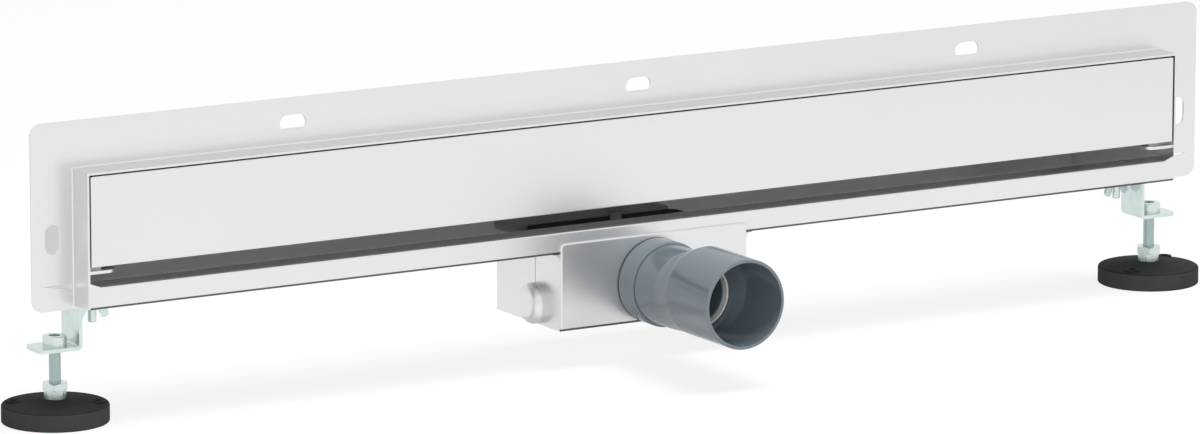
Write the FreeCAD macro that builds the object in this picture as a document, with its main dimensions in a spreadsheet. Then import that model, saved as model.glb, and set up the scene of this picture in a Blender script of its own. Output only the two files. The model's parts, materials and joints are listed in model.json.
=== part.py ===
import FreeCAD, Part
import math
import operator
import os

import Sketcher

# Linear shower drain that is built into a wall, in millimetres. X runs along the drain, Y into the
# wall and Z up. Z = 0 is the floor under the feet, X = 0 the middle of the drain. Every piece is
# drawn from the wall's face, and face_y moves that face so that the depth is centred on Y = 0.

DRIVING = {
    # folded steel
    "sheet": 1.2,
    "bend": 0.4,
    "flange_width": 750.0,
    "flange_height": 101.9,
    "flange_base": 63.6,
    "flange_corner": 6.5,
    "flange_side": 25.0,
    "collar_reach": 16.5,
    "collar_root": 1.0,
    "relief_length": 18.0,
    "relief_height": 3.2,
    "relief_end": 0.3,
    # fixing slots in the flange
    "slot_length": 16.0,
    "slot_width": 9.0,
    "slot_pitch": 217.0,
    "slot_drop": 14.0,
    "side_slot_inset": 12.5,
    "side_slot_rise": 38.8,
    # channel behind the wall's face and the sill in front of it
    "channel_base": 65.4,
    "channel_height": 74.2,
    "channel_depth": 44.0,
    "sill_height": 12.1,
    "sill_seam": 0.3,
    "sill_bend": 1.5,
    "sill_lip_bend": 0.8,
    "ramp_length": 6.2,
    "ramp_height": 2.4,
    "ear_radius": 4.0,
    # cover and what holds it
    "cover_sheet": 1.5,
    "cover_side_gap": 0.9,
    "cover_top_gap": 0.8,
    "cover_height": 49.1,
    "cover_rim": 12.0,
    "cover_corner": 1.0,
    "cover_edge": 0.5,
    "tab_length": 17.1,
    "tab_gap": 2.2,
    "tab_rest": 4.0,
    "tab_sheet": 1.7,
    "tab_depth": 12.0,
    "tab_setback": 1.0,
    "stop_height": 24.0,
    "stop_reach": 9.0,
    "stop_leg": 10.0,
    # siphon box under the channel
    "box_width": 120.0,
    "box_height": 43.2,
    "box_depth": 70.6,
    "box_ledge": 4.0,
    "box_lap": 6.0,
    "box_lap_corner": 3.0,
    "box_bend": 1.0,
    "box_seam": 10.0,
    "box_seam_gap": 0.4,
    "box_clearance": 0.3,
    "boss_radius": 11.5,
    "boss_reach": 8.0,
    "boss_shoulder": 5.0,
    "boss_back": 7.5,
    "boss_rise": 12.0,
    # drain hole and odour trap
    "drain_width": 90.0,
    "drain_front": 11.0,
    "drain_rear": 6.5,
    "drain_corner": 6.0,
    "trap_margin": 4.0,
    "trap_plate": 2.5,
    "trap_gasket_height": 1.0,
    "trap_wall": 1.6,
    "trap_clearance": 1.0,
    "trap_inlet_width": 66.0,
    "trap_inlet_depth": 13.0,
    "trap_inlet_end": 9.0,
    "trap_cup_height": 26.0,
    "trap_cup_floor": 4.0,
    "trap_post": 4.0,
    "grip_width": 6.5,
    "grip_height": 6.0,
    "grip_sheet": 2.0,
    # swivelling outlet, its lengths measured from the front of the siphon box
    "outlet_x": 0.5,
    "outlet_rise": 22.7,
    "outlet_gasket_height": 1.0,
    "outlet_bore": 16.5,
    "neck_radius": 18.8,
    "neck_clearance": 0.3,
    "neck_length": 6.0,
    "neck_flange": 20.1,
    "neck_flange_height": 2.3,
    "swivel_seal_height": 1.4,
    "swivel_clearance": 0.3,
    "ring_radius": 24.0,
    "ring_wall": 3.9,
    "ring_end": 14.6,
    "ring_lip": 3.2,
    "ring_lip_width": 1.9,
    "ring_edge": 1.2,
    "barrel_radius": 22.7,
    "barrel_taper": 0.5,
    "barrel_end": 34.3,
    "barrel_edge": 0.8,
    "pipe_diameter": 50.0,
    "pipe_wall": 1.9,
    "pipe_offset": 3.4,
    "pipe_start": 53.0,
    "pipe_end": 94.3,
    "pipe_stop": 58.0,
    "pipe_edge": 0.8,
    "bore_step": 46.0,
    "bore_step_radius": 18.9,
    "bore_floor": 43.5,
    "lip_seal_radius": 18.1,
    "lip_seal_wall": 0.9,
    "lip_seal_height": 4.0,
    # shares of the swelling's length, rise and growth at its two middle sections
    "swell_first_length": 0.36,
    "swell_first_rise": 0.36,
    "swell_first_growth": 0.26,
    "swell_second_length": 0.7,
    "swell_second_rise": 0.74,
    "swell_second_growth": 0.64,
    # bracket, stud and wing nut of a foot
    "strap_inset": 5.5,
    "strap_sheet": 2.0,
    "strap_front": 5.7,
    "strap_width": 20.5,
    "strap_drop": 26.0,
    "strap_bend": 1.0,
    "strap_corner": 4.5,
    "strap_out": 22.8,
    "strap_in": 19.7,
    "stud_inset": 13.05,
    "stud_radius": 2.4,
    "stud_length": 13.7,
    "stud_edge": 0.6,
    "thread_clearance": 0.05,
    "wing_hub_radius": 4.0,
    "wing_hub_height": 4.6,
    "wing_span": 10.3,
    "wing_tip": 6.7,
    "wing_shoulder": 8.0,
    "wing_shoulder_drop": 2.3,
    "wing_drop": 6.0,
    "wing_sheet": 1.6,
    "wing_edge": 1.2,
    "wing_turn_left": 0.0,
    "wing_turn_right": 17.0,
    # levelling screw and foot
    "screw_outset": 9.9,
    "screw_y": 15.2,
    "screw_radius": 3.2,
    "head_radius": 6.5,
    "head_height": 5.6,
    "head_socket": 6.0,
    "head_socket_depth": 3.0,
    "head_edge": 0.5,
    "nut_width": 13.0,
    "nut_height": 4.1,
    "nut_slope": 0.5,
    "insert_radius": 6.0,
    "insert_height": 4.5,
    "insert_depth": 8.0,
    "pad_radius": 29.1,
    "pad_rim": 9.9,
    "pad_crown": 12.8,
    "pad_edge": 1.5,
    "pad_sole_edge": 1.0,
    "eyelet_offset": 22.4,
    "eyelet_radius": 4.2,
    "eyelet_bore": 2.2,
    "eyelet_rise": 1.6,
    "eyelet_turn": 31.0,
}

doc = FreeCAD.newDocument("LinearShowerDrain")
sheet = doc.addObject("Spreadsheet::Sheet", "Sizes")


# A length or an angle: its value now, and its formula in the cells of the sheet.
class Size:
    def __init__(self, value, formula):
        self.value = value
        self.formula = formula

    def __add__(self, other):
        return joined(self, "+", other, operator.add)

    def __radd__(self, other):
        return joined(other, "+", self, operator.add)

    def __sub__(self, other):
        return joined(self, "-", other, operator.sub)

    def __rsub__(self, other):
        return joined(other, "-", self, operator.sub)

    def __mul__(self, other):
        return joined(self, "*", other, operator.mul)

    def __rmul__(self, other):
        return joined(other, "*", self, operator.mul)

    def __truediv__(self, other):
        return joined(self, "/", other, operator.truediv)

    def __neg__(self):
        return joined(-1, "*", self, operator.mul)


def sized(item):
    return item if isinstance(item, Size) else Size(item, f"({item})")


def joined(left, sign, right, work):
    left = sized(left)
    right = sized(right)
    return Size(work(left.value, right.value), f"({left.formula} {sign} {right.formula})")


# The named sizes as attributes, each with its cell as formula.
class Cells:
    def __init__(self, driving):
        for row, (name, value) in enumerate(driving.items(), 1):
            sheet.set(f"A{row}", name)
            sheet.set(f"B{row}", str(value))
            sheet.setAlias(f"B{row}", name)
            setattr(self, name, Size(value, f"Sizes.{name}"))


c = Cells(DRIVING)
doc.recompute()

# Planes that several pieces share
flange_top = c.flange_base + c.flange_height
collar_half = c.flange_width / 2 - c.flange_side
inner_half = collar_half - c.sheet
channel_floor = c.channel_base + c.sheet
channel_top = c.channel_base + c.channel_height
channel_ceiling = channel_top - c.sheet
sill_top = c.channel_base + c.sill_height
outer_bend = c.bend + c.sheet
through = c.sheet * 4
box_half = c.box_width / 2
box_base = c.channel_base - c.box_height
box_front = -c.collar_reach - c.sheet
box_back = box_front + c.box_depth
cover_top = channel_ceiling - c.cover_top_gap
cover_base = cover_top - c.cover_height
drain_back = c.channel_depth - c.drain_rear
strap_x = collar_half - c.strap_inset
strap_base = c.channel_base - c.strap_drop
strap_middle = c.strap_front + c.strap_width / 2
stud_x = strap_x - c.stud_inset
screw_x = strap_x + c.screw_outset
outlet_z = box_base + c.outlet_rise
pipe_radius = c.pipe_diameter / 2
neck_bore = c.neck_radius + c.neck_clearance
front_reach = c.pipe_end - box_front
face_y = (front_reach - box_back) / 2

pieces = []


# Binds one property of an object to its formula, and sets its value for now.
def bind(thing, name, item):
    if isinstance(item, Size):
        thing.setExpression(name, item.formula)
    elif item:
        thing.setExpression(name, str(item))


# Starts a piece whose own origin lies at x, y, z of the drain.
def piece(name, x=0, y=0, z=0):
    body = doc.addObject("PartDesign::Body", name)
    body.Label = name
    bind(body, ".Placement.Base.x", x)
    bind(body, ".Placement.Base.y", face_y + y)
    bind(body, ".Placement.Base.z", z)
    pieces.append(body)
    return body


# Starts a sketch on one of the piece's own origin planes, moved along that plane's normal.
def sketch(body, name, role, offset=0):
    plane = next(item for item in body.Origin.OriginFeatures if item.Role == role)
    drawing = body.newObject("Sketcher::SketchObject", name)
    drawing.AttachmentSupport = [(plane, "")]
    drawing.MapMode = "FlatFace"
    bind(drawing, ".AttachmentOffset.Base.z", offset)
    return drawing


def constrain(drawing, kind, *values):
    item = values[-1]
    if isinstance(item, Size):
        index = drawing.addConstraint(Sketcher.Constraint(kind, *values[:-1], item.value))
        drawing.setExpression(f"Constraints[{index}]", item.formula)
    else:
        drawing.addConstraint(Sketcher.Constraint(kind, *values))


# Closes edges through the points, each held at its distances from the sketch's axes. arcs gives, for
# the edge that leaves a point, its centre and whether it turns counterclockwise.
def outline(drawing, points, arcs=None):
    arcs = arcs or {}
    first = drawing.GeometryCount
    points = [(sized(x), sized(y)) for x, y in points]
    spots = [FreeCAD.Vector(x.value, y.value, 0) for x, y in points]
    count = len(points)
    starts = []
    for index, start in enumerate(spots):
        end = spots[(index + 1) % count]
        if index in arcs:
            centre_x, centre_y, turns_left = arcs[index]
            centre = FreeCAD.Vector(sized(centre_x).value, sized(centre_y).value, 0)
            circle = Part.Circle(centre, FreeCAD.Vector(0, 0, 1), (start - centre).Length)
            low, high = (start, end) if turns_left else (end, start)
            arc = Part.ArcOfCircle(circle, circle.parameter(low), circle.parameter(high))
            drawing.addGeometry(arc, False)
            starts.append(1 if turns_left else 2)
        else:
            drawing.addGeometry(Part.LineSegment(start, end), False)
            starts.append(1)
    for index in range(count):
        following = (index + 1) % count
        constrain(drawing, "Coincident", first + index, 3 - starts[index],
                  first + following, starts[following])
    for index, (x, y) in enumerate(points):
        keeps_x = True
        keeps_y = True
        if (index - 1) % count in arcs:
            centre_x, centre_y, turns_left = arcs[(index - 1) % count]
            reach = spots[index] - FreeCAD.Vector(sized(centre_x).value, sized(centre_y).value, 0)
            keeps_x = abs(reach.x) < abs(reach.y)
            keeps_y = not keeps_x
        if keeps_x:
            constrain(drawing, "DistanceX", -1, 1, first + index, starts[index], x)
        if keeps_y:
            constrain(drawing, "DistanceY", -1, 1, first + index, starts[index], y)
    for index, (centre_x, centre_y, turns_left) in arcs.items():
        constrain(drawing, "DistanceX", -1, 1, first + index, 3, sized(centre_x))
        constrain(drawing, "DistanceY", -1, 1, first + index, 3, sized(centre_y))


def rectangle(drawing, left, right, bottom, top):
    outline(drawing, [(left, bottom), (right, bottom), (right, top), (left, top)])


# Draws lines between arcs of one radius about the centres, which run counterclockwise.
def rounded(drawing, centres, radius):
    radius = sized(radius)
    first = drawing.GeometryCount
    centres = [(sized(x), sized(y)) for x, y in centres]
    spots = [FreeCAD.Vector(x.value, y.value, 0) for x, y in centres]
    count = len(centres)
    normals = []
    for index, spot in enumerate(spots):
        along = (spots[(index + 1) % count] - spot).normalize()
        normals.append(FreeCAD.Vector(along.y, -along.x, 0) * radius.value)
    for index, spot in enumerate(spots):
        circle = Part.Circle(spot, FreeCAD.Vector(0, 0, 1), radius.value)
        begin = circle.parameter(spot + normals[index - 1])
        finish = circle.parameter(spot + normals[index])
        drawing.addGeometry(Part.ArcOfCircle(circle, begin, finish), False)
    for index, spot in enumerate(spots):
        line = Part.LineSegment(spot + normals[index], spots[(index + 1) % count] + normals[index])
        drawing.addGeometry(line, False)
    for index, (x, y) in enumerate(centres):
        following = (index + 1) % count
        constrain(drawing, "Tangent", first + index, 2, first + count + index, 1)
        constrain(drawing, "Tangent", first + count + index, 2, first + following, 1)
        constrain(drawing, "DistanceX", -1, 1, first + index, 3, x)
        constrain(drawing, "DistanceY", -1, 1, first + index, 3, y)
        constrain(drawing, "Radius", first + index, radius)


def rounded_rectangle(drawing, left, right, bottom, top, radius):
    rounded(drawing, [(left + radius, bottom + radius), (right - radius, bottom + radius),
                      (right - radius, top - radius), (left + radius, top - radius)], radius)


# An obround hole of the flange: centre, half its straight length along X and along Y.
def obround(drawing, x, y, half_x, half_y, radius):
    rounded(drawing, [(x - half_x, y - half_y), (x + half_x, y + half_y)], radius)


def circle(drawing, x, y, radius):
    radius = sized(radius)
    middle = FreeCAD.Vector(sized(x).value, sized(y).value, 0)
    index = drawing.addGeometry(Part.Circle(middle, FreeCAD.Vector(0, 0, 1), radius.value), False)
    constrain(drawing, "DistanceX", -1, 1, index, 3, sized(x))
    constrain(drawing, "DistanceY", -1, 1, index, 3, sized(y))
    constrain(drawing, "Radius", index, radius)


# A hexagon of the given width across its flats
def hexagon(drawing, width):
    reach = width / math.sqrt(3)
    angles = [math.radians(60 * corner) for corner in range(6)]
    outline(drawing, [(reach * math.cos(angle), reach * math.sin(angle)) for angle in angles])


def pad(body, name, drawing, length, back=False, both=False):
    feature = body.newObject("PartDesign::Pad", name)
    feature.Profile = (drawing, [""])
    feature.Reversed = back
    feature.Midplane = both
    bind(feature, "Length", length)
    return feature


def pocket(body, name, drawing, length, back=False, both=False):
    feature = body.newObject("PartDesign::Pocket", name)
    feature.Profile = (drawing, [""])
    feature.Reversed = back
    feature.Midplane = both
    bind(feature, "Length", length)
    return feature


def turned(body, name, drawing, axis, cut=False):
    feature = body.newObject("PartDesign::Groove" if cut else "PartDesign::Revolution", name)
    feature.Profile = (drawing, [""])
    feature.ReferenceAxis = (drawing, [axis])
    feature.Angle = 360
    return feature


def loft(body, kind, name, drawings):
    feature = body.newObject(f"PartDesign::{kind}", name)
    feature.Profile = (drawings[0], [""])
    feature.Sections = [(drawing, [""]) for drawing in drawings[1:]]
    return feature


# Rounds the edges of a feature that lie wholly at one of the places, each a coordinate by axis.
def fillet(body, name, feature, radius, places):
    doc.recompute()
    names = []
    for number, edge in enumerate(feature.Shape.Edges, 1):
        box = edge.BoundBox
        spans = {"x": (box.XMin, box.XMax), "y": (box.YMin, box.YMax), "z": (box.ZMin, box.ZMax)}
        for place in places:
            if all(abs(end - sized(value).value) < 0.01 for axis, value in place.items()
                   for end in spans[axis]):
                names.append(f"Edge{number}")
                break
    rounding = body.newObject("PartDesign::Fillet", name)
    rounding.Base = (feature, names)
    bind(rounding, "Radius", radius)
    return rounding


# Rounds the circular edges of a turned feature that lie at one of the places: a plane and a radius.
def fillet_rings(body, name, feature, radius, axis, places):
    doc.recompute()
    names = []
    for number, edge in enumerate(feature.Shape.Edges, 1):
        if isinstance(edge.Curve, Part.Circle):
            level = getattr(edge.Curve.Center, axis)
            for place, ring in places:
                if abs(level - sized(place).value) + abs(edge.Curve.Radius - sized(ring).value) < 0.01:
                    names.append(f"Edge{number}")
    rounding = body.newObject("PartDesign::Fillet", name)
    rounding.Base = (feature, names)
    bind(rounding, "Radius", radius)
    return rounding


SIDES = {"left": -1, "right": 1}


# Wall flange: one sheet with fixing slots, its collar folded forward on three sides
def wall_flange():
    body = piece("wall_flange")
    blank = sketch(body, "flange_blank", "XZ_Plane")
    rounded_rectangle(blank, -c.flange_width / 2, c.flange_width / 2, c.flange_base, flange_top,
                      c.flange_corner)
    pad(body, "flange_plate", blank, c.sheet, back=True)
    opening = sketch(body, "flange_opening", "XZ_Plane")
    notch_half = box_half + c.box_clearance
    below = c.flange_base - c.sheet
    outline(opening, [(-inner_half, c.channel_base), (-notch_half, c.channel_base), (-notch_half, below),
                      (notch_half, below), (notch_half, c.channel_base), (inner_half, c.channel_base),
                      (inner_half, channel_ceiling), (-inner_half, channel_ceiling)])
    pocket(body, "flange_cut", opening, through, both=True)
    slots = sketch(body, "flange_slots", "XZ_Plane")
    radius = c.slot_width / 2
    straight = (c.slot_length - c.slot_width) / 2
    for step in (-1, 0, 1):
        obround(slots, step * c.slot_pitch, flange_top - c.slot_drop, straight, 0, radius)
    for side in SIDES.values():
        obround(slots, side * (c.flange_width / 2 - c.side_slot_inset), c.flange_base + c.side_slot_rise,
                0, straight, radius)
    pocket(body, "slot_cut", slots, through, both=True)
    reliefs = sketch(body, "relief_slits", "XZ_Plane")
    for side in SIDES.values():
        root_x = side * (collar_half + outer_bend)
        outline(reliefs, [(root_x, sill_top - c.relief_height),
                          (side * (collar_half + c.relief_length), sill_top - c.relief_end),
                          (side * (collar_half + c.relief_length), sill_top), (root_x, sill_top)])
    pocket(body, "relief_cut", reliefs, through, both=True)
    collar = sketch(body, "collar_section", "XZ_Plane")
    outline(collar, [(-collar_half, c.channel_base), (-inner_half, c.channel_base),
                     (-inner_half, channel_ceiling), (inner_half, channel_ceiling),
                     (inner_half, c.channel_base), (collar_half, c.channel_base),
                     (collar_half, channel_top), (-collar_half, channel_top)])
    folded = pad(body, "collar", collar, c.collar_reach)
    folded = fillet(body, "collar_corners", folded, c.sill_bend,
                    [{"y": -c.collar_reach, "z": c.channel_base}])
    fillet(body, "collar_root", folded, c.collar_root,
           [{"y": 0, "z": channel_top}, {"y": 0, "x": collar_half}, {"y": 0, "x": -collar_half}])


# Trough of the channel: floor, back and top folded from one sheet, with the drain hole in its floor
def channel_trough():
    body = piece("channel_trough")
    section = sketch(body, "trough_section", "YZ_Plane")
    inner_back = c.channel_depth - c.sheet
    outline(section, [(0, c.channel_base), (c.channel_depth, c.channel_base),
                      (c.channel_depth, channel_top), (c.sheet, channel_top), (c.sheet, channel_ceiling),
                      (inner_back, channel_ceiling), (inner_back, channel_floor), (0, channel_floor)])
    folded = pad(body, "trough", section, inner_half * 2, both=True)
    folded = fillet(body, "trough_outer_bends", folded, outer_bend,
                    [{"y": c.channel_depth, "z": c.channel_base}, {"y": c.channel_depth, "z": channel_top}])
    fillet(body, "trough_inner_bends", folded, c.bend,
           [{"y": inner_back, "z": channel_floor}, {"y": inner_back, "z": channel_ceiling}])
    hole = sketch(body, "drain_hole", "XY_Plane", channel_floor)
    rounded_rectangle(hole, -c.drain_width / 2, c.drain_width / 2, c.drain_front, drain_back,
                      c.drain_corner)
    pocket(body, "drain_cut", hole, c.sheet * 2)


# End plate of the channel, its two rear corners cut to the trough's bends
def channel_end(name, side):
    body = piece(f"channel_end_{name}")
    blank = sketch(body, "end_blank", "YZ_Plane", side * inner_half)
    rectangle(blank, c.sheet, c.channel_depth, c.channel_base, channel_top)
    plate = pad(body, "end_plate", blank, c.sheet, back=side < 0)
    fillet(body, "end_corners", plate, outer_bend,
           [{"y": c.channel_depth, "z": c.channel_base}, {"y": c.channel_depth, "z": channel_top}])


# Sill: fascia, lip and step folded from one sheet between the collar's sides, with ears beside the box
def front_sill():
    body = piece("front_sill")
    front = -c.collar_reach
    section = sketch(body, "sill_section", "YZ_Plane")
    return_end = -c.sheet - c.sill_seam
    outline(section, [(front, c.channel_base), (return_end, c.channel_base), (return_end, channel_floor),
                      (front + c.sheet, channel_floor), (front + c.sheet, sill_top - c.sheet),
                      (-c.sheet, sill_top - c.sheet), (-c.sheet, c.channel_base), (0, c.channel_base),
                      (0, sill_top), (front, sill_top)])
    folded = pad(body, "sill_fold", section, inner_half * 2, both=True)
    folded = fillet(body, "sill_bends", folded, c.sill_bend,
                    [{"y": front, "z": c.channel_base}])
    fillet(body, "sill_lip_bends", folded, c.sill_lip_bend,
           [{"y": front, "z": sill_top}, {"y": 0, "z": sill_top}])
    ears = sketch(body, "sill_ears", "XZ_Plane", c.collar_reach)
    foot = c.channel_base + c.sill_bend
    for side in SIDES.values():
        outline(ears, [(side * box_half, c.channel_base - c.ear_radius), (side * box_half, foot),
                       (side * (box_half + c.ear_radius), foot),
                       (side * (box_half + c.ear_radius), c.channel_base)],
                {3: (side * (box_half + c.ear_radius), c.channel_base - c.ear_radius, side > 0)})
    pad(body, "sill_ear_tabs", ears, c.sheet, back=True)
    ramps = sketch(body, "sill_ramps", "XZ_Plane", c.collar_reach)
    ramp_foot = sill_top - c.sill_lip_bend
    for side in SIDES.values():
        start = inner_half - c.ramp_length
        outline(ramps, [(side * inner_half, ramp_foot), (side * start, ramp_foot), (side * start, sill_top),
                        (side * inner_half, sill_top + c.ramp_height)])
    pad(body, "sill_ramp_tabs", ramps, c.sheet, back=True)


# Siphon box: front, floor and the front half of its sides, folded from one blank
def siphon_box_front():
    body = piece("siphon_box_front")
    inner = box_half - c.sheet
    face = sketch(body, "box_face", "XZ_Plane", c.collar_reach)
    lap = c.channel_base + c.box_lap
    corner = c.box_lap_corner
    outline(face, [(-box_half, box_base), (box_half, box_base), (box_half, lap - corner),
                   (box_half - corner, lap), (corner - box_half, lap), (-box_half, lap - corner)],
            {2: (box_half - corner, lap - corner, True), 4: (corner - box_half, lap - corner, True)})
    pad(body, "box_front_plate", face, c.sheet)
    floor = sketch(body, "box_floor", "XY_Plane", box_base)
    rectangle(floor, -box_half, box_half, -c.collar_reach, box_back)
    pad(body, "box_floor_plate", floor, c.sheet)
    flaps = sketch(body, "box_flaps", "XY_Plane", box_base)
    seam = c.box_seam - c.box_seam_gap / 2
    for side in SIDES.values():
        rectangle(flaps, side * inner, side * box_half, -c.collar_reach, seam)
    folded = pad(body, "box_side_flaps", flaps, c.box_height)
    fillet(body, "box_bends", folded, c.box_bend,
           [{"y": box_front, "x": -box_half}, {"y": box_front, "x": box_half},
            {"y": box_front, "z": box_base}])
    port = sketch(body, "outlet_port", "XZ_Plane", c.collar_reach)
    circle(port, c.outlet_x, outlet_z, c.neck_radius + c.neck_clearance)
    pocket(body, "outlet_port_cut", port, through, both=True)


# Siphon box: back and the rear half of its sides, standing on the floor plate, with a ledge folded
# forward under the back of the channel
def siphon_box_rear():
    body = piece("siphon_box_rear")
    plan = sketch(body, "box_rear_plan", "XY_Plane", box_base + c.sheet)
    seam = c.box_seam + c.box_seam_gap / 2
    inner = box_half - c.sheet
    back = box_back - c.sheet
    outline(plan, [(-box_half, seam), (-inner, seam), (-inner, back), (inner, back), (inner, seam),
                   (box_half, seam), (box_half, box_back), (-box_half, box_back)])
    folded = pad(body, "box_rear_fold", plan, c.box_height - c.sheet)
    fillet(body, "box_rear_bends", folded, c.box_bend,
           [{"x": -box_half, "y": box_back}, {"x": box_half, "y": box_back}])
    ledge = sketch(body, "box_ledge", "XY_Plane", c.channel_base - c.sheet)
    rectangle(ledge, -inner, inner, c.channel_depth - c.box_ledge, back)
    pad(body, "box_rear_ledge", ledge, c.sheet)


# Pressed dome over the seam on the left side of the siphon box
def side_boss():
    body = piece("side_boss", -box_half, c.boss_back, box_base + c.boss_rise)
    dome = sketch(body, "dome_profile", "XY_Plane")
    outer = c.boss_radius
    shoulder = c.boss_shoulder
    reach = c.boss_reach
    inner = outer - c.sheet
    outline(dome, [(0, inner), (0, outer), (shoulder - reach, outer), (-reach, outer - shoulder),
                   (-reach, 0), (c.sheet - reach, 0), (c.sheet - reach, outer - shoulder),
                   (shoulder - reach, inner)],
            {2: (shoulder - reach, outer - shoulder, True), 6: (shoulder - reach, outer - shoulder, False)})
    turned(body, "dome", dome, "H_Axis")


# Tab at one end of the opening, with a rest at its rear that the cover's lower rim stands on
def support_tab(name, side):
    body = piece(f"support_tab_{name}")
    plan = sketch(body, "tab_plan", "XY_Plane", cover_base - c.tab_gap - c.tab_sheet)
    front = c.tab_setback - c.collar_reach
    radius = c.tab_depth / 2
    end = inner_half - c.tab_length
    rear = front + c.tab_depth
    outline(plan, [(side * inner_half, front), (side * inner_half, rear), (side * (end + radius), rear),
                   (side * (end + radius), front)],
            {2: (side * (end + radius), front + radius, side > 0)})
    pad(body, "tab", plan, c.tab_sheet)
    rest = sketch(body, "rest_plan", "XY_Plane", cover_base - c.tab_gap)
    rectangle(rest, side * inner_half, side * (end + radius), rear - c.tab_rest, rear)
    pad(body, "tab_rest", rest, c.tab_gap)


# Angle inside the collar that the cover's rim stops against
def cover_stop(name, side):
    body = piece(f"cover_stop_{name}")
    rim_back = c.cover_rim - c.collar_reach
    plan = sketch(body, "stop_plan", "XY_Plane", (cover_top + cover_base - c.stop_height) / 2)
    outline(plan, [(side * inner_half, rim_back), (side * (inner_half - c.stop_reach), rim_back),
                   (side * (inner_half - c.stop_reach), rim_back + c.sheet),
                   (side * (inner_half - c.sheet), rim_back + c.sheet),
                   (side * (inner_half - c.sheet), rim_back + c.stop_leg),
                   (side * inner_half, rim_back + c.stop_leg)])
    pad(body, "stop_angle", plan, c.stop_height)


# Cover: a shallow pan whose rim is folded back
def cover_plate():
    body = piece("cover_plate")
    half = inner_half - c.cover_side_gap
    face = sketch(body, "cover_face", "XZ_Plane", c.collar_reach)
    rectangle(face, -half, half, cover_base, cover_top)
    block = pad(body, "cover_block", face, c.cover_rim, back=True)
    block = fillet(body, "cover_corners", block, c.cover_corner,
                   [{"x": x, "z": z} for x in (-half, half) for z in (cover_base, cover_top)])
    fillet(body, "cover_edges", block, c.cover_edge, [{"y": -c.collar_reach}])
    hollow = sketch(body, "cover_hollow", "XZ_Plane", c.collar_reach - c.cover_sheet)
    rectangle(hollow, c.cover_sheet - half, half - c.cover_sheet, cover_base + c.cover_sheet,
              cover_top - c.cover_sheet)
    pocket(body, "cover_hollow_cut", hollow, c.cover_rim)


trap_front = c.drain_front - c.trap_margin
trap_back = drain_back + c.trap_margin
trap_half = c.drain_width / 2 + c.trap_margin
trap_seat = channel_floor + c.trap_gasket_height
cup_half = c.drain_width / 2 - c.trap_clearance
cup_front = c.drain_front + c.trap_clearance
cup_back = drain_back - c.trap_clearance
cup_base = box_base + c.sheet + c.trap_cup_floor
inlet_y = (c.drain_front + drain_back) / 2


# Gasket between the channel's floor and the trap's plate
def trap_gasket():
    body = piece("trap_gasket")
    ring = sketch(body, "gasket_plan", "XY_Plane", channel_floor)
    rounded_rectangle(ring, -trap_half, trap_half, trap_front, trap_back, c.drain_corner)
    rounded_rectangle(ring, -c.drain_width / 2, c.drain_width / 2, c.drain_front, drain_back,
                      c.drain_corner)
    pad(body, "gasket", ring, c.trap_gasket_height)


# Trap insert: plate with a dip tube, two posts that carry the cup, and a grip across its mouth
def trap_insert():
    body = piece("trap_insert")
    plan = sketch(body, "insert_plan", "XY_Plane", trap_seat)
    rounded_rectangle(plan, -trap_half, trap_half, trap_front, trap_back, c.drain_corner)
    pad(body, "insert_plate", plan, c.trap_plate)
    tube_half = c.trap_inlet_width / 2
    tube_front = inlet_y - c.trap_inlet_depth / 2
    tube_back = inlet_y + c.trap_inlet_depth / 2
    tube_base = cup_base + c.trap_wall + c.trap_inlet_end
    tube = sketch(body, "tube_plan", "XY_Plane", tube_base)
    rounded_rectangle(tube, -tube_half, tube_half, tube_front, tube_back, c.drain_corner)
    pad(body, "dip_tube", tube, trap_seat - tube_base)
    posts = sketch(body, "post_plan", "XY_Plane", cup_base + c.trap_wall)
    for side in SIDES.values():
        circle(posts, side * (tube_half + cup_half) / 2, inlet_y, c.trap_post / 2)
    pad(body, "posts", posts, trap_seat - cup_base - c.trap_wall)
    bore = sketch(body, "tube_bore", "XY_Plane", trap_seat + c.trap_plate)
    wall = c.trap_wall
    rounded_rectangle(bore, wall - tube_half, tube_half - wall, tube_front + wall, tube_back - wall,
                      c.drain_corner - wall)
    pocket(body, "tube_bore_cut", bore, trap_seat + c.trap_plate - tube_base + wall)
    grip = sketch(body, "grip_section", "YZ_Plane")
    grip_base = trap_seat + c.trap_plate - c.grip_sheet
    rectangle(grip, tube_front, tube_back, grip_base, grip_base + c.grip_sheet)
    pad(body, "grip", grip, c.grip_width, both=True)
    rib = sketch(body, "grip_rib", "XZ_Plane", -inlet_y)
    grip_top = grip_base + c.grip_sheet + c.grip_height
    rectangle(rib, -c.grip_width / 2, c.grip_width / 2, grip_base, grip_top)
    pad(body, "grip_handle", rib, c.grip_sheet, both=True)


# Trap cup: an open bowl round the dip tube that holds the water seal
def trap_cup():
    body = piece("trap_cup")
    plan = sketch(body, "cup_plan", "XY_Plane", cup_base)
    rounded_rectangle(plan, -cup_half, cup_half, cup_front, cup_back, c.drain_corner)
    pad(body, "cup_block", plan, c.trap_cup_height)
    hollow = sketch(body, "cup_hollow", "XY_Plane", cup_base + c.trap_cup_height)
    wall = c.trap_wall
    rounded_rectangle(hollow, wall - cup_half, cup_half - wall, cup_front + wall, cup_back - wall,
                      c.drain_corner - wall)
    pocket(body, "cup_hollow_cut", hollow, c.trap_cup_height - wall)


# Flat seal between the box and the outlet's ring
def outlet_gasket():
    body = piece("outlet_gasket", c.outlet_x, box_front, outlet_z)
    profile = sketch(body, "gasket_profile", "XY_Plane")
    rectangle(profile, neck_bore, c.ring_radius - c.ring_edge, -c.outlet_gasket_height, 0)
    turned(body, "gasket_ring", profile, "V_Axis")


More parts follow.
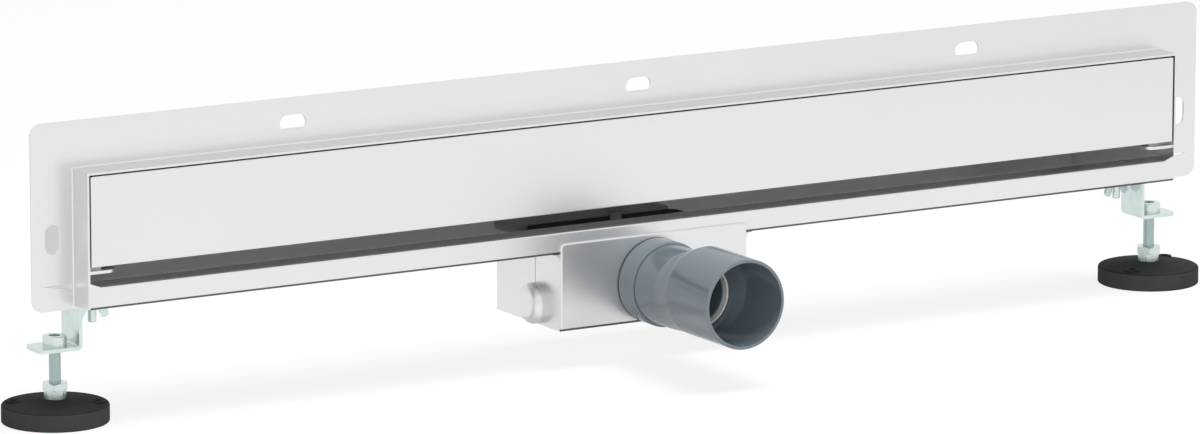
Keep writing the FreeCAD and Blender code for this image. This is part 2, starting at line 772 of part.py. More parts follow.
# Socket that passes through the box: a flange inside it and a threaded neck outside
def outlet_socket():
    body = piece("outlet_socket", c.outlet_x, box_front, outlet_z)
    profile = sketch(body, "socket_profile", "XY_Plane")
    back = c.sheet + c.neck_flange_height
    outline(profile, [(c.outlet_bore, back), (c.outlet_bore, -c.neck_length),
                      (c.neck_radius, -c.neck_length), (c.neck_radius, c.sheet),
                      (c.neck_flange, c.sheet), (c.neck_flange, back)])
    turned(body, "socket", profile, "V_Axis")


tail_start = c.neck_length + c.swivel_seal_height
lip_back = c.ring_end - c.ring_lip
ring_bore = c.ring_radius - c.ring_wall
lip_bore = ring_bore - c.ring_lip_width


# Seal between the socket's neck and the spigot that turns against it
def outlet_swivel_seal():
    body = piece("outlet_swivel_seal", c.outlet_x, box_front, outlet_z)
    profile = sketch(body, "seal_profile", "XY_Plane")
    rectangle(profile, c.outlet_bore, c.neck_radius, -tail_start, -c.neck_length)
    turned(body, "seal_ring", profile, "V_Axis")


# Ring on the socket's neck, whose lip holds the spigot's tail
def outlet_ring():
    body = piece("outlet_ring", c.outlet_x, box_front, outlet_z)
    profile = sketch(body, "ring_profile", "XY_Plane")
    outline(profile, [(neck_bore, -c.outlet_gasket_height), (neck_bore, -tail_start),
                      (ring_bore, -tail_start), (ring_bore, -lip_back), (lip_bore, -lip_back),
                      (lip_bore, -c.ring_end), (c.ring_radius, -c.ring_end),
                      (c.ring_radius, -c.outlet_gasket_height)])
    ring = turned(body, "ring", profile, "V_Axis")
    fillet_rings(body, "ring_edge", ring, c.ring_edge, "y", [(-c.ring_end, c.ring_radius)])


# Draws a circle of the spigot at a distance in front of the box and a height above the ring's axis
def spigot_circle(body, name, reach, rise, radius):
    drawing = sketch(body, name, "XZ_Plane", reach)
    circle(drawing, 0, rise, radius)
    return drawing


# Spigot: a tail inside the ring, a barrel, an eccentric swelling and the sleeve for the waste pipe
def outlet_spigot():
    body = piece("outlet_spigot", c.outlet_x, box_front, outlet_z)
    profile = sketch(body, "barrel_profile", "XY_Plane")
    gap = c.swivel_clearance
    barrel_back = c.ring_end + gap
    waist = lip_bore - gap
    tip = c.barrel_radius - c.barrel_taper
    outline(profile, [(c.outlet_bore, -tail_start), (ring_bore - gap, -tail_start),
                      (ring_bore - gap, gap - lip_back), (waist, gap - lip_back), (waist, -barrel_back),
                      (c.barrel_radius, -barrel_back), (tip, -c.barrel_end),
                      (c.outlet_bore, -c.barrel_end)])
    barrel = turned(body, "barrel", profile, "V_Axis")
    fillet_rings(body, "barrel_edge", barrel, c.barrel_edge, "y", [(-barrel_back, c.barrel_radius)])
    length = c.pipe_start - c.barrel_end
    growth = pipe_radius - tip
    start = spigot_circle(body, "swelling_start", c.barrel_end, 0, tip)
    first = spigot_circle(body, "swelling_first", c.barrel_end + length * c.swell_first_length,
                          c.pipe_offset * c.swell_first_rise, tip + growth * c.swell_first_growth)
    second = spigot_circle(body, "swelling_second", c.barrel_end + length * c.swell_second_length,
                           c.pipe_offset * c.swell_second_rise, tip + growth * c.swell_second_growth)
    end = spigot_circle(body, "swelling_end", c.pipe_start, c.pipe_offset, pipe_radius)
    loft(body, "AdditiveLoft", "swelling", [start, first, second, end])
    sleeve = spigot_circle(body, "sleeve_outline", c.pipe_start, c.pipe_offset, pipe_radius)
    sleeve_pad = pad(body, "sleeve", sleeve, c.pipe_end - c.pipe_start)
    fillet_rings(body, "sleeve_mouth", sleeve_pad, c.pipe_edge, "y", [(-c.pipe_end, pipe_radius)])
    sleeve_bore = pipe_radius - c.pipe_wall
    mouth = spigot_circle(body, "sleeve_bore", c.pipe_end, c.pipe_offset, sleeve_bore)
    pocket(body, "sleeve_bore_cut", mouth, c.pipe_end - c.pipe_stop)
    stop = spigot_circle(body, "taper_mouth", c.pipe_stop, c.pipe_offset, sleeve_bore)
    step = spigot_circle(body, "taper_end", c.bore_step, 0, c.bore_step_radius)
    loft(body, "SubtractiveLoft", "bore_taper", [stop, step])
    groove = spigot_circle(body, "lip_groove", c.bore_step, 0, c.bore_step_radius)
    pocket(body, "lip_groove_cut", groove, c.bore_step - c.bore_floor)
    bore = spigot_circle(body, "tail_bore", c.bore_floor, 0, c.outlet_bore)
    pocket(body, "tail_bore_cut", bore, c.bore_floor - tail_start)


# Pale lip seal that stands in the groove at the bottom of the sleeve
def outlet_lip_seal():
    body = piece("outlet_lip_seal", c.outlet_x, box_front, outlet_z)
    ring = spigot_circle(body, "lip_outline", c.bore_floor, 0, c.lip_seal_radius)
    circle(ring, 0, 0, c.lip_seal_radius - c.lip_seal_wall)
    pad(body, "lip", ring, c.lip_seal_height)


# Bracket of a foot: a strap with an upper tab under the channel and a lower tab for the screw
def foot_bracket(name, side):
    body = piece(f"foot_bracket_{name}")
    rear = c.strap_front + c.strap_width
    section = sketch(body, "strap_section", "XZ_Plane", -strap_middle)
    outer = strap_x
    inner = outer - c.strap_sheet
    top = c.channel_base
    outline(section, [(side * outer, top), (side * (outer - c.strap_in), top),
                      (side * (outer - c.strap_in), top - c.strap_sheet),
                      (side * inner, top - c.strap_sheet), (side * inner, strap_base),
                      (side * (outer + c.strap_out), strap_base),
                      (side * (outer + c.strap_out), strap_base + c.strap_sheet),
                      (side * outer, strap_base + c.strap_sheet)])
    strap = pad(body, "strap", section, c.strap_width, both=True)
    strap = fillet(body, "strap_bends", strap, c.strap_bend,
                   [{"x": side * inner, "z": top - c.strap_sheet},
                    {"x": side * outer, "z": strap_base + c.strap_sheet}])
    strap = fillet(body, "strap_outer_bends", strap, c.strap_bend + c.strap_sheet,
                   [{"x": side * outer, "z": top}, {"x": side * inner, "z": strap_base}])
    fillet(body, "strap_corners", strap, c.strap_corner,
           [{"x": side * (outer + c.strap_out), "y": c.strap_front},
            {"x": side * (outer + c.strap_out), "y": rear}])
    holes = sketch(body, "screw_hole", "XY_Plane", strap_base + c.strap_sheet)
    circle(holes, side * screw_x, c.screw_y, c.screw_radius + c.thread_clearance)
    pocket(body, "screw_hole_cut", holes, c.strap_sheet * 2)
    stud_hole = sketch(body, "stud_hole", "XY_Plane", top)
    circle(stud_hole, side * stud_x, strap_middle, c.stud_radius + c.thread_clearance)
    pocket(body, "stud_hole_cut", stud_hole, c.strap_sheet)


# Stud welded under the channel
def stud(name, side):
    body = piece(f"stud_{name}", side * stud_x, strap_middle, c.channel_base)
    profile = sketch(body, "stud_profile", "XZ_Plane")
    rectangle(profile, 0, c.stud_radius, -c.stud_length, 0)
    rod = turned(body, "stud_rod", profile, "V_Axis")
    fillet_rings(body, "stud_tip", rod, c.stud_edge, "z", [(-c.stud_length, c.stud_radius)])


# Turns a piece about its own upright axis
def turn_piece(body, angle):
    body.Placement.Rotation = FreeCAD.Rotation(FreeCAD.Vector(0, 0, 1), angle.value)
    body.setExpression(".Placement.Rotation.Angle", angle.formula)


# Wing nut on the stud, its wings hanging beside the stud's end
def wing_nut(name, side):
    body = piece(f"wing_nut_{name}", side * stud_x, strap_middle, c.channel_base - c.strap_sheet)
    turn_piece(body, c.wing_turn_left if side < 0 else c.wing_turn_right)
    profile = sketch(body, "hub_profile", "XZ_Plane")
    bore = c.stud_radius + c.thread_clearance
    rectangle(profile, bore, c.wing_hub_radius, -c.wing_hub_height, 0)
    turned(body, "hub", profile, "V_Axis")
    wings = sketch(body, "wing_outline", "XZ_Plane")
    root = bore + c.wing_edge / 2
    tip = -c.wing_hub_height - c.wing_drop
    side_z = tip + c.wing_edge * 2
    for wing in (-1, 1):
        outline(wings, [(wing * root, -c.wing_edge / 2), (wing * root, -c.wing_hub_height),
                        (wing * c.wing_tip, tip), (wing * c.wing_span, side_z),
                        (wing * c.wing_shoulder, -c.wing_shoulder_drop)])
    shape = pad(body, "wings", wings, c.wing_sheet, both=True)
    corners = ((c.wing_tip, tip), (c.wing_span, side_z), (c.wing_shoulder, -c.wing_shoulder_drop))
    fillet(body, "wing_tips", shape, c.wing_edge,
           [{"x": wing * reach, "z": level} for wing in (-1, 1) for reach, level in corners])


nut_base = c.pad_crown + c.insert_height
insert_base = nut_base - c.insert_height - c.insert_depth
screw_tip = insert_base + c.insert_depth / 2


# Levelling screw with a socket head, from the bracket's tab down into the foot
def levelling_screw(name, side):
    tab_top = strap_base + c.strap_sheet
    body = piece(f"levelling_screw_{name}", side * screw_x, c.screw_y, tab_top)
    profile = sketch(body, "screw_profile", "XZ_Plane")
    tip = screw_tip - tab_top
    outline(profile, [(0, tip), (c.screw_radius, tip), (c.screw_radius, 0), (c.head_radius, 0),
                      (c.head_radius, c.head_height), (0, c.head_height)])
    screw = turned(body, "screw", profile, "V_Axis")
    fillet_rings(body, "head_edge", screw, c.head_edge, "z", [(c.head_height, c.head_radius)])
    key = sketch(body, "key_socket", "XY_Plane", c.head_height)
    hexagon(key, c.head_socket)
    pocket(body, "key_socket_cut", key, c.head_socket_depth)


# Thin lock nut on the screw, down on the foot's insert
def lock_nut(name, side):
    body = piece(f"lock_nut_{name}", side * screw_x, c.screw_y, nut_base)
    plan = sketch(body, "nut_plan", "XY_Plane")
    hexagon(plan, c.nut_width)
    circle(plan, 0, 0, c.screw_radius)
    pad(body, "nut", plan, c.nut_height)
    corners = sketch(body, "nut_corners", "XZ_Plane")
    flat = c.nut_width / 2
    beyond = c.nut_width
    slope = (beyond - flat) * c.nut_slope
    outline(corners, [(flat, c.nut_height), (beyond, c.nut_height - slope), (beyond, c.nut_height)])
    outline(corners, [(flat, 0), (beyond, 0), (beyond, slope)])
    turned(body, "nut_chamfers", corners, "V_Axis", cut=True)


# Threaded insert in the middle of the foot
def foot_insert(name, side):
    body = piece(f"foot_insert_{name}", side * screw_x, c.screw_y, insert_base)
    profile = sketch(body, "insert_profile", "XZ_Plane")
    height = c.insert_depth + c.insert_height
    outline(profile, [(0, 0), (c.insert_radius, 0), (c.insert_radius, height), (c.screw_radius, height),
                      (c.screw_radius, c.insert_depth / 2), (0, c.insert_depth / 2)])
    turned(body, "insert", profile, "V_Axis")


# Foot: a low cone of hard rubber with two fixing eyelets
def foot_pad(name, side):
    body = piece(f"foot_pad_{name}", side * screw_x, c.screw_y, 0)
    turn_piece(body, side * c.eyelet_turn)
    profile = sketch(body, "pad_profile", "XZ_Plane")
    outline(profile, [(0, 0), (c.pad_radius, 0), (c.pad_radius, c.pad_rim), (c.insert_radius, c.pad_crown),
                      (c.insert_radius, insert_base), (0, insert_base)])
    cone = turned(body, "pad_cone", profile, "V_Axis")
    cone = fillet_rings(body, "pad_rim_edge", cone, c.pad_edge, "z", [(c.pad_rim, c.pad_radius)])
    fillet_rings(body, "pad_sole_edge", cone, c.pad_sole_edge, "z", [(0, c.pad_radius)])
    eyelets = sketch(body, "eyelet_plan", "XY_Plane", c.pad_rim / 2)
    for end in (-1, 1):
        circle(eyelets, end * c.eyelet_offset, 0, c.eyelet_radius)
    pad(body, "eyelets", eyelets, c.pad_rim / 2 + c.eyelet_rise)
    holes = sketch(body, "eyelet_holes", "XY_Plane")
    for end in (-1, 1):
        circle(holes, end * c.eyelet_offset, 0, c.eyelet_bore)
    pocket(body, "eyelet_cut", holes, c.pad_crown * 2, back=True)


wall_flange()
channel_trough()
front_sill()
siphon_box_front()
siphon_box_rear()
side_boss()
cover_plate()
trap_gasket()
trap_insert()
trap_cup()
outlet_gasket()
outlet_socket()
outlet_swivel_seal()
outlet_ring()
outlet_spigot()
outlet_lip_seal()
for name, side in SIDES.items():
    channel_end(name, side)
    support_tab(name, side)
    cover_stop(name, side)
    foot_bracket(name, side)
    stud(name, side)
    wing_nut(name, side)
    levelling_screw(name, side)
    lock_nut(name, side)
    foot_insert(name, side)
    foot_pad(name, side)
doc.recompute()

failed = [item.FullName for item in doc.Objects if "Invalid" in item.State or "Error" in item.State]
if failed:
    raise RuntimeError(f"could not be made: {failed}")
os.makedirs("parts", exist_ok=True)
for body in pieces:
    if body.Shape.isNull() or not body.Shape.isValid():
        raise RuntimeError(f"{body.Label} has no sound shape")
    body.Shape.exportStep(f"parts/{body.Label}.step")
    print(body.Label, len(body.Shape.Solids), round(body.Shape.Volume))
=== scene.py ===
import json
import math

import bpy
from mathutils import Matrix, Vector


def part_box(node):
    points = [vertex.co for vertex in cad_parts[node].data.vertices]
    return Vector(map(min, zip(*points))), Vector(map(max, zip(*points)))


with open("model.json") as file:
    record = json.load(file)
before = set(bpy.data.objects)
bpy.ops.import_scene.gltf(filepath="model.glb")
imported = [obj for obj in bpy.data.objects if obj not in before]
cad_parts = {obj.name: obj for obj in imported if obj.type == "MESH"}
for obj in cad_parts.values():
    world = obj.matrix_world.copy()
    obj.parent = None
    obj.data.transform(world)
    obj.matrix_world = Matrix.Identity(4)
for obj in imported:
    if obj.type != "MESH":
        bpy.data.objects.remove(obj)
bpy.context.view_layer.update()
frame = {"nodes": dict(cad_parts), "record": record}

# Linear shower drain that is built into a wall, in metres, in the frame of its construction:
# X along the drain, Y into the wall, Z up, the floor at Z = 0.

MM = 0.001
SHEET = 1.2 * MM
WHITE = (1.0, 1.0, 1.0, 1.0)

wall_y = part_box("wall_flange")[1].y - SHEET


# Camera at the photograph's viewing angle, its target given from the wall's face
PHOTO_WIDTH = 1200
FOCAL_PIXELS = 7994.2
SENSOR_WIDTH = 36.0
CAMERA_AZIMUTH = math.radians(-30.894)
CAMERA_ELEVATION = math.radians(11.467)
CAMERA_ROLL = math.radians(0.063)
CAMERA_DISTANCE = 4.4103
CAMERA_TARGET = Vector((-0.0245, wall_y, 0.0799))
CAMERA_CLIP = (0.1, 50.0)


def make_camera():
    data = bpy.data.cameras.new("photo_camera")
    camera = bpy.data.objects.new("photo_camera", data)
    bpy.context.scene.collection.objects.link(camera)
    data.sensor_width = SENSOR_WIDTH
    data.lens = SENSOR_WIDTH * FOCAL_PIXELS / PHOTO_WIDTH
    back = Vector((
        math.sin(CAMERA_AZIMUTH) * math.cos(CAMERA_ELEVATION),
        -math.cos(CAMERA_AZIMUTH) * math.cos(CAMERA_ELEVATION),
        math.sin(CAMERA_ELEVATION),
    ))
    turn = (-back).to_track_quat("-Z", "Y").to_matrix().to_4x4() @ Matrix.Rotation(CAMERA_ROLL, 4, "Z")
    camera.matrix_world = Matrix.Translation(CAMERA_TARGET + back * CAMERA_DISTANCE) @ turn
    data.clip_start, data.clip_end = CAMERA_CLIP
    bpy.context.scene.camera = camera


# Node helpers
def feed(tree, value, socket):
    if isinstance(value, bpy.types.NodeSocket):
        tree.links.new(value, socket)
    else:
        socket.default_value = value


def math_node(tree, operation, *values):
    node = tree.nodes.new("ShaderNodeMath")
    node.operation = operation
    for value, socket in zip(values, node.inputs):
        feed(tree, value, socket)
    return node.outputs[0]


def mixed_shader(tree, share, first, second):
    mix = tree.nodes.new("ShaderNodeMixShader")
    feed(tree, share, mix.inputs["Fac"])
    tree.links.new(first, mix.inputs[1])
    tree.links.new(second, mix.inputs[2])
    return mix.outputs[0]


# Mixes two shaders: the second for the kinds of ray that are named, the first for all others
def by_ray(tree, plain, special, kinds):
    path = tree.nodes.new("ShaderNodeLightPath")
    factor = path.outputs[kinds[0]]
    for kind in kinds[1:]:
        factor = math_node(tree, "MAXIMUM", factor, path.outputs[kind])
    return mixed_shader(tree, factor, plain, special)


# Light: an even pale world and two soft lamps, with a white backdrop for all but the diffuse light.
# The floor is a pale grey to the light, and whiter to the camera and in reflections.
WORLD_LIGHT = 0.36
BACKDROP = 1.0
FLOOR_HALF = 6.0
FLOOR_GLOW = 1.0
FLOOR_BOUNCE = 0.5
FLOOR_WHITE = 0.9
MIRRORED_GLOW = 0.4
VIEWED_GLOW = 0.82
REFLECTED_RAYS = ["Is Glossy Ray", "Is Transmission Ray"]
CAMERA_RAYS = ["Is Camera Ray"]
LAMP_AIM_HEIGHT = 0.07


def make_world():
    world = bpy.data.worlds.new("pale_world")
    bpy.context.scene.world = world
    world.use_nodes = True
    tree = world.node_tree
    light = tree.nodes["Background"]
    backdrop = tree.nodes.new("ShaderNodeBackground")
    for node, strength in ((light, WORLD_LIGHT), (backdrop, BACKDROP)):
        node.inputs["Color"].default_value = WHITE
        node.inputs["Strength"].default_value = strength
    seen = by_ray(tree, light.outputs[0], backdrop.outputs[0], CAMERA_RAYS + REFLECTED_RAYS)
    tree.links.new(seen, tree.nodes["World Output"].inputs["Surface"])


def lamp(name, place, size, power):
    data = bpy.data.lights.new(name, "AREA")
    data.shape = "DISK"
    data.size = size
    data.energy = power
    light = bpy.data.objects.new(name, data)
    bpy.context.scene.collection.objects.link(light)
    light.location = place
    light.visible_glossy = False
    aim = Vector((0.0, wall_y, LAMP_AIM_HEIGHT)) - Vector(place)
    light.rotation_euler = aim.to_track_quat("-Z", "Y").to_euler()


def diffuse_shader(tree, level):
    node = tree.nodes.new("ShaderNodeBsdfDiffuse")
    node.inputs["Color"].default_value = (level, level, level, 1.0)
    return node.outputs[0]


def make_floor():
    mesh = bpy.data.meshes.new("floor")
    half = FLOOR_HALF
    corners = [(-half, -half, 0), (half, -half, 0), (half, half, 0), (-half, half, 0)]
    mesh.from_pydata(corners, [], [(0, 1, 2, 3)])
    floor = bpy.data.objects.new("floor", mesh)
    bpy.context.scene.collection.objects.link(floor)
    paint = bpy.data.materials.new("floor")
    paint.use_nodes = True
    tree = paint.node_tree
    tree.nodes.remove(tree.nodes["Principled BSDF"])
    bounce = diffuse_shader(tree, FLOOR_BOUNCE)
    white = diffuse_shader(tree, FLOOR_WHITE)
    glow = tree.nodes.new("ShaderNodeEmission")
    glow.inputs["Strength"].default_value = FLOOR_GLOW
    mirrored = mixed_shader(tree, MIRRORED_GLOW, white, glow.outputs[0])
    viewed = mixed_shader(tree, VIEWED_GLOW, white, glow.outputs[0])
    shown = by_ray(tree, bounce, mirrored, REFLECTED_RAYS)
    seen = by_ray(tree, shown, viewed, CAMERA_RAYS)
    tree.links.new(seen, tree.nodes["Material Output"].inputs["Surface"])
    mesh.materials.append(paint)


# Materials, each with its own colour and surface nodes. Most of a noise's values lie in its middle.
NOISE_LOW = 0.3
NOISE_HIGH = 0.7
FINE_DETAIL = 2.0


def new_material(name, metallic, roughness):
    made = bpy.data.materials.new(name)
    made.use_nodes = True
    shader = made.node_tree.nodes["Principled BSDF"]
    shader.inputs["Metallic"].default_value = metallic
    shader.inputs["Roughness"].default_value = roughness
    return made, made.node_tree, shader


def object_place(tree):
    return tree.nodes.new("ShaderNodeTexCoord").outputs["Object"]


# Noise in the object's own coordinates, stretched by scale along each axis, in 1 / metre
def noise(tree, scale, detail=3.0):
    mapping = tree.nodes.new("ShaderNodeMapping")
    mapping.inputs["Scale"].default_value = scale
    texture = tree.nodes.new("ShaderNodeTexNoise")
    texture.inputs["Scale"].default_value = 1.0
    texture.inputs["Detail"].default_value = detail
    tree.links.new(object_place(tree), mapping.inputs["Vector"])
    tree.links.new(mapping.outputs["Vector"], texture.inputs["Vector"])
    return texture.outputs["Fac"]


# Colour that goes from low to high with a noise
def between(tree, factor, low, high):
    ramp = tree.nodes.new("ShaderNodeValToRGB")
    for element, position, color in zip(ramp.color_ramp.elements, (NOISE_LOW, NOISE_HIGH), (low, high)):
        element.position = position
        element.color = (*color, 1.0)
    tree.links.new(factor, ramp.inputs["Fac"])
    return ramp.outputs["Color"]


# Number that goes from low to high with a noise, or switches between them with a factor of 0 or 1
def range_of(tree, factor, low, high):
    change = tree.nodes.new("ShaderNodeMapRange")
    change.inputs["From Min"].default_value = NOISE_LOW
    change.inputs["From Max"].default_value = NOISE_HIGH
    change.inputs["To Min"].default_value = low
    change.inputs["To Max"].default_value = high
    tree.links.new(factor, change.inputs["Value"])
    return change.outputs["Result"]


def bump(tree, shader, factor, height, strength):
    node = tree.nodes.new("ShaderNodeBump")
    node.inputs["Distance"].default_value = height
    node.inputs["Strength"].default_value = strength
    tree.links.new(factor, node.inputs["Height"])
    tree.links.new(node.outputs["Normal"], shader.inputs["Normal"])


# 1 where the piece's own coordinate on an axis lies between two limits, else 0
def within(tree, axis, low, high):
    parts = tree.nodes.new("ShaderNodeSeparateXYZ")
    tree.links.new(object_place(tree), parts.inputs[0])
    return math_node(tree, "COMPARE", parts.outputs[axis], (low + high) / 2, (high - low) / 2)


# 1 where the piece lies inside a box, given by its lowest and highest corners, else 0
def inside(tree, low, high):
    across = within(tree, "X", low.x, high.x)
    deep = within(tree, "Y", low.y, high.y)
    plan = math_node(tree, "MULTIPLY", across, deep)
    return math_node(tree, "MULTIPLY", plan, within(tree, "Z", low.z, high.z))


# The colour, multiplied by a tint wherever the factor is 1
def tinted(tree, color, factor, tint):
    mix = tree.nodes.new("ShaderNodeMix")
    mix.data_type = "RGBA"
    mix.blend_type = "MULTIPLY"
    tree.links.new(factor, mix.inputs["Factor"])
    tree.links.new(color, mix.inputs["A"])
    mix.inputs["B"].default_value = (*tint, 1.0)
    return mix.outputs["Result"]


# Satin stainless sheet: a faint mottle of the rolled surface and a fine grain along the drain
MOTTLE_SCALE = (9.0, 9.0, 9.0)
MOTTLE_DARK = 0.985
STEEL_GRAIN_SCALE = (60.0, 1800.0, 1800.0)
STEEL_GRAIN_LOW = 0.01
STEEL_GRAIN_HIGH = 0.015
STEEL_GRAIN_HEIGHT = 0.0005 * MM
STEEL_GRAIN_STRENGTH = 0.01


# The part of the piece inside a box has a tint, and may have a roughness and a metallic level of its own
def steel_material(name, bright, roughness, metallic, box=None, tint=None, finish=None):
    made, tree, shader = new_material(name, metallic, roughness)
    dark = tuple(part * MOTTLE_DARK for part in bright)
    color = between(tree, noise(tree, MOTTLE_SCALE), dark, bright)
    grain = noise(tree, STEEL_GRAIN_SCALE, FINE_DETAIL)
    satin = range_of(tree, grain, roughness - STEEL_GRAIN_LOW, roughness + STEEL_GRAIN_HIGH)
    if box:
        part = inside(tree, *box)
        color = tinted(tree, color, part, tint)
    if finish:
        satin = range_of(tree, part, roughness, finish[0])
        tree.links.new(range_of(tree, part, metallic, finish[1]), shader.inputs["Metallic"])
    tree.links.new(color, shader.inputs["Base Color"])
    tree.links.new(satin, shader.inputs["Roughness"])
    bump(tree, shader, grain, STEEL_GRAIN_HEIGHT, STEEL_GRAIN_STRENGTH)
    return made


# Bright zinc with the blue cast of its passivation
ZINC_LOW = (0.62, 0.71, 0.70)
ZINC_HIGH = (0.68, 0.77, 0.76)
ZINC_METALLIC = 0.8
ZINC_PATCH_SCALE = (160.0, 160.0, 160.0)
ZINC_FINE_SCALE = (500.0, 500.0, 500.0)
ZINC_ROUGHNESS = (0.19, 0.26)
ZINC_HEIGHT = 0.002 * MM
ZINC_STRENGTH = 0.05

# A wave texture of scale 1 repeats every tenth of pi metres
THREAD_PITCH = 1.0 * MM
THREAD_SCALE = math.pi / 10 / THREAD_PITCH
THREAD_HEIGHT = 0.06 * MM
THREAD_STRENGTH = 0.25
THREAD_ROUGHNESS = 0.25
# Painted shade: the zinc of the shank below the head is darkened by this factor
SHANK_PAINTED_SHADE = (0.55, 0.62, 0.62)


def zinc_color(tree):
    return between(tree, noise(tree, ZINC_PATCH_SCALE), ZINC_LOW, ZINC_HIGH)


def zinc_material():
    made, tree, shader = new_material("zinc", ZINC_METALLIC, sum(ZINC_ROUGHNESS) / 2)
    tree.links.new(zinc_color(tree), shader.inputs["Base Color"])
    fine = noise(tree, ZINC_FINE_SCALE, FINE_DETAIL)
    tree.links.new(range_of(tree, fine, *ZINC_ROUGHNESS), shader.inputs["Roughness"])
    bump(tree, shader, fine, ZINC_HEIGHT, ZINC_STRENGTH)
    return made


# A screw of the same zinc, duller and ringed by its thread below the head, where its colour is also darkened
# as painted shade. The solid's shank is plain.
def screw_material(head_base):
    made, tree, shader = new_material("screw_zinc", ZINC_METALLIC, THREAD_ROUGHNESS)
    shank = within(tree, "Z", 0.0, head_base)
    tree.links.new(tinted(tree, zinc_color(tree), shank, SHANK_PAINTED_SHADE), shader.inputs["Base Color"])
    turns = tree.nodes.new("ShaderNodeTexWave")
    turns.bands_direction = "Z"
    turns.inputs["Scale"].default_value = THREAD_SCALE
    tree.links.new(object_place(tree), turns.inputs["Vector"])
    rings = math_node(tree, "MULTIPLY", turns.outputs["Fac"], shank)
    bump(tree, shader, rings, THREAD_HEIGHT, THREAD_STRENGTH)
    return made


# Grey waste pipe plastic, glossy, with the faint flow marks of its moulding
PIPE_LOW = (0.136, 0.168, 0.196)
PIPE_HIGH = (0.147, 0.180, 0.209)
PIPE_FLOW_SCALE = (40.0, 12.0, 40.0)
PIPE_FINE_SCALE = (500.0, 350.0, 500.0)
PIPE_ROUGHNESS = (0.17, 0.21)
PIPE_HEIGHT = 0.002 * MM
PIPE_STRENGTH = 0.03
PIPE_GLOSS = 0.85


def pipe_material():
    made, tree, shader = new_material("pipe_plastic", 0.0, sum(PIPE_ROUGHNESS) / 2)
    color = between(tree, noise(tree, PIPE_FLOW_SCALE), PIPE_LOW, PIPE_HIGH)
    tree.links.new(color, shader.inputs["Base Color"])
    fine = noise(tree, PIPE_FINE_SCALE, FINE_DETAIL)
    tree.links.new(range_of(tree, fine, *PIPE_ROUGHNESS), shader.inputs["Roughness"])
    bump(tree, shader, fine, PIPE_HEIGHT, PIPE_STRENGTH)
    shader.inputs["Specular IOR Level"].default_value = PIPE_GLOSS
    return made


# Moulded plastic or rubber with a fine grain
MOULD_PATCH_SCALE = (60.0, 60.0, 60.0)
MOULD_GRAIN_SCALE = (1500.0, 1500.0, 1500.0)
MOULD_GRAIN_LOW = 0.06
MOULD_GRAIN_HIGH = 0.08
MOULD_STRENGTH = 0.3
COARSE_GRAIN = 0.004 * MM
SMOOTH_GRAIN = 0.002 * MM
DULL = 0.1


# A band of the piece, from a lower to an upper height, may have a tint
def moulded_material(name, low, high, roughness, grain_height, gloss=0.5, band=None):
    made, tree, shader = new_material(name, 0.0, roughness)
    shader.inputs["Specular IOR Level"].default_value = gloss
    color = between(tree, noise(tree, MOULD_PATCH_SCALE), low, high)
    if band:
        bottom, top, tint = band
        color = tinted(tree, color, within(tree, "Z", bottom, top), tint)
    tree.links.new(color, shader.inputs["Base Color"])
    grain = noise(tree, MOULD_GRAIN_SCALE, FINE_DETAIL)
    rough = range_of(tree, grain, roughness - MOULD_GRAIN_LOW, roughness + MOULD_GRAIN_HIGH)
    tree.links.new(rough, shader.inputs["Roughness"])
    bump(tree, shader, grain, grain_height, MOULD_STRENGTH)
    return made


# Tints and finishes of part of a piece. The fold and pad-rim tints are painted shade, and the hollow's tint
# is painted light.
# The hollow is nearly a mirror so that the drain hole shows in the channel's back, where the photograph has
# its dark area. The trap's grip is paler than its plate so that it stands out less. Both are fitted to the
# photograph and don't say what the real surfaces are.
STEEL = (0.755, 0.755, 0.755)
STEEL_ROUGHNESS = 0.29
STEEL_METALLIC = 0.92
SILL_METALLIC = 0.82
TROUGH_STEEL = (0.64, 0.64, 0.64)
TROUGH_METALLIC = 0.9
FOLD = 1.4 * MM
# Painted shade: the lower front folds of the sill and of the box front are darkened to a thin dark line,
# standing for the shade these folds show
FOLD_PAINTED_SHADE = (0.14, 0.14, 0.14)
EAR_HEIGHT = 4.0 * MM
# Painted light: the hollow's inner faces are 1.54 times brighter than the trough's outside, lifting the
# shaded interior
HOLLOW_PAINTED_LIGHT = (1.54, 1.54, 1.54)
HOLLOW_FINISH = (0.08, 0.76)
PAD_RIM = 9.2 * MM
# Painted shade: the foot's plastic from 9.2 to 18.4 mm up is darkened to 0.46
PAD_RIM_PAINTED_SHADE = (0.46, 0.47, 0.47)
HEAD_HEIGHT = 5.6 * MM
GRIP_HEIGHT = 5.9 * MM
GRIP_TINT = (4.0, 4.0, 4.0)


# Box round the lower front fold of a node, which lies at a height above the node's foot; the fold's painted
# shade goes inside it
def fold_of(node, height=0.0):
    low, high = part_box(node)
    base = low.z + height
    return Vector((low.x - MM, low.y - FOLD, base)), Vector((high.x + MM, low.y + FOLD, base + FOLD))


# Box of the channel's hollow, whose faces lie halfway through the sheets around it; the hollow's painted
# light goes inside it
def hollow():
    low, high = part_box("channel_trough")
    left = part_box("channel_end_left")[1].x
    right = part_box("channel_end_right")[0].x
    half = SHEET / 2
    lowest = Vector((left - half, low.y - SHEET, low.z + half))
    highest = Vector((right + half, high.y - half, high.z - half))
    return lowest, highest


def satin_steel(name, metallic, box=None, tint=None):
    return steel_material(name, STEEL, STEEL_ROUGHNESS, metallic, box, tint)


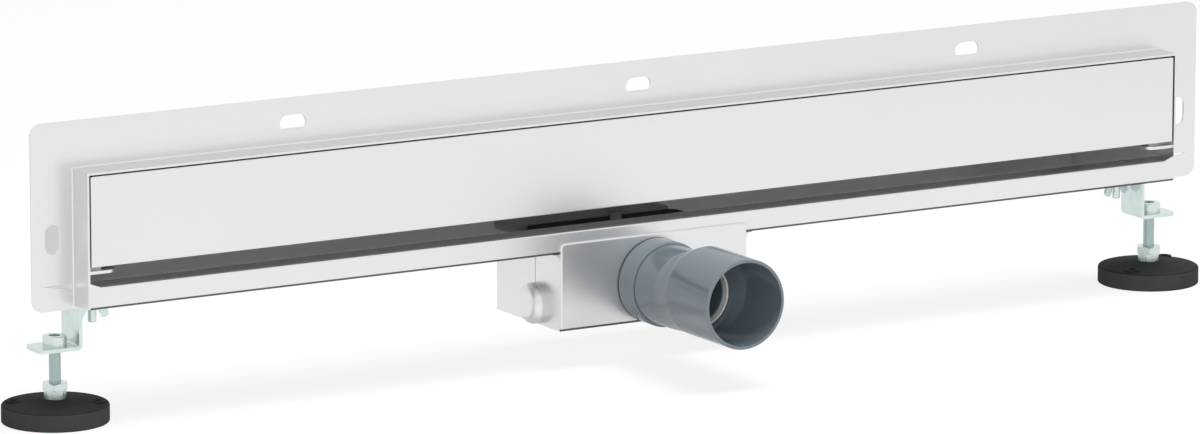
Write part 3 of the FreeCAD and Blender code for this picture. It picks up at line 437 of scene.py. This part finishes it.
insert_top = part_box("trap_insert")[1].z
head_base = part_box("levelling_screw_left")[1].z - HEAD_HEIGHT
pad_shade_band = (PAD_RIM, 2 * PAD_RIM, PAD_RIM_PAINTED_SHADE)
grip_band = (insert_top - GRIP_HEIGHT, insert_top + MM, GRIP_TINT)

materials = {
    "steel": satin_steel("steel", STEEL_METALLIC),
    "sill_steel": satin_steel("sill_steel", SILL_METALLIC, fold_of("front_sill", EAR_HEIGHT), FOLD_PAINTED_SHADE),
    "box_steel": satin_steel("box_steel", STEEL_METALLIC, fold_of("siphon_box_front"), FOLD_PAINTED_SHADE),
    "inner_steel": steel_material("inner_steel", TROUGH_STEEL, STEEL_ROUGHNESS, TROUGH_METALLIC,
                                  hollow(), HOLLOW_PAINTED_LIGHT, HOLLOW_FINISH),
    "screw_zinc": screw_material(head_base),
    "zinc": zinc_material(),
    "pipe_plastic": pipe_material(),
    "trap_plastic": moulded_material("trap_plastic", (0.042, 0.042, 0.043), (0.052, 0.052, 0.053), 0.8,
                                     COARSE_GRAIN, DULL, grip_band),
    "foot_plastic": moulded_material("foot_plastic", (0.046, 0.047, 0.047), (0.054, 0.055, 0.055), 0.8,
                                     COARSE_GRAIN, DULL, pad_shade_band),
    "rubber": moulded_material("rubber", (0.020, 0.020, 0.020), (0.028, 0.028, 0.028), 0.7, COARSE_GRAIN),
    "pale_rubber": moulded_material("pale_rubber", (0.88, 0.87, 0.82), (0.93, 0.92, 0.87), 0.5, SMOOTH_GRAIN),
}


# Nodes whose finish differs from the rest of their material slot; the sill, box front and screws also carry
# painted shade, and the channel's hollow carries painted light
OWN_FINISH_AND_PAINTED_LIGHT = {
    "channel_trough": "inner_steel",
    "channel_end_left": "inner_steel",
    "channel_end_right": "inner_steel",
    "front_sill": "sill_steel",
    "siphon_box_front": "box_steel",
    "levelling_screw_left": "screw_zinc",
    "levelling_screw_right": "screw_zinc",
}


def dress_nodes():
    slots = {part["node"]: part["material_slot"] for part in frame["record"]["subparts"]}
    for name, node in frame["nodes"].items():
        node.data.materials.clear()
        node.data.materials.append(materials[OWN_FINISH_AND_PAINTED_LIGHT.get(name, slots[name])])


bpy.context.scene.view_settings.view_transform = "Standard"
make_camera()
make_world()
make_floor()
lamp("key", (0.4, -0.4, 2.7), 1.6, 70.0)
lamp("fill", (-1.4, -2.4, 0.7), 1.5, 38.0)
dress_nodes()
